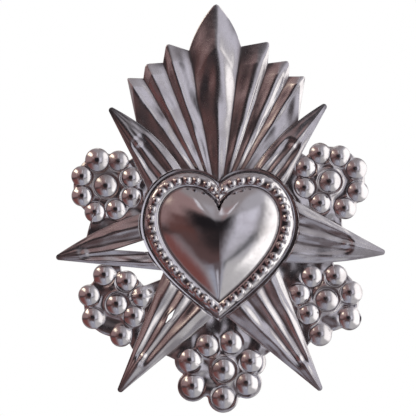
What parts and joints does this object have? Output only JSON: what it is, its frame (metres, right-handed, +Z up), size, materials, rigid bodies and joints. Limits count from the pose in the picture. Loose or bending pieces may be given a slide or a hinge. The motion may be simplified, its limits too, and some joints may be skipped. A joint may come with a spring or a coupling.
{
  "type": "milagro heart",
  "caption": "Pressed tin votive heart with a beaded border, a pleated flame, folded rays and domed flowers, soldered to a back plate with a swinging wire hanger.",
  "frame": {"origin": "rear face of the back plate, behind the middle of the heart", "axes": "+X to the viewer's right, +Y backwards into the wall, +Z up to the flame's tip; the front faces -Y"},
  "size_m": [0.1209, 0.0134, 0.1494],
  "materials": {
    "polished_tin": "polished, lightly tarnished",
    "folded_tin": "polished, lightly tarnished",
    "plain_tin": "dull",
    "solder": "dull",
    "wire": "satin"
  },
  "bodies": {
    "ornament": {"heart_front": "polished_tin", "back_plate": "plain_tin", "flame_crown": "folded_tin", "ray_upper_right": "folded_tin", "ray_upper_left": "folded_tin", "ray_left": "folded_tin", "ray_lower_left": "folded_tin", "ray_lower_right": "folded_tin", "ray_right": "folded_tin", "flower_upper_left": "folded_tin", "flower_lower_left": "folded_tin", "flower_bottom": "folded_tin", "flower_lower_right": "folded_tin", "flower_upper_right": "folded_tin", "solder_ray_upper_right": "solder", "solder_ray_upper_left": "solder", "solder_ray_left": "solder", "solder_ray_lower_left": "solder", "solder_ray_lower_right": "solder", "solder_ray_right": "solder", "solder_flower_upper_left": "solder", "solder_flower_lower_left": "solder", "solder_flower_bottom": "solder", "solder_flower_lower_right": "solder", "solder_flower_upper_right": "solder", "solder_flame_left": "solder", "solder_flame_right": "solder", "solder_strap": "solder", "hanger_strap": "plain_tin"},
    "hanger": {"hanger_ring": "wire"}
  },
  "joints": [
    {"name": "hanger_swing", "type": "hinge", "parent": "ornament", "child": "hanger", "pos_m": [0, 0.0009, 0.03605], "axis": [1, 0, 0], "range_deg": [0, 180]}
  ]
}
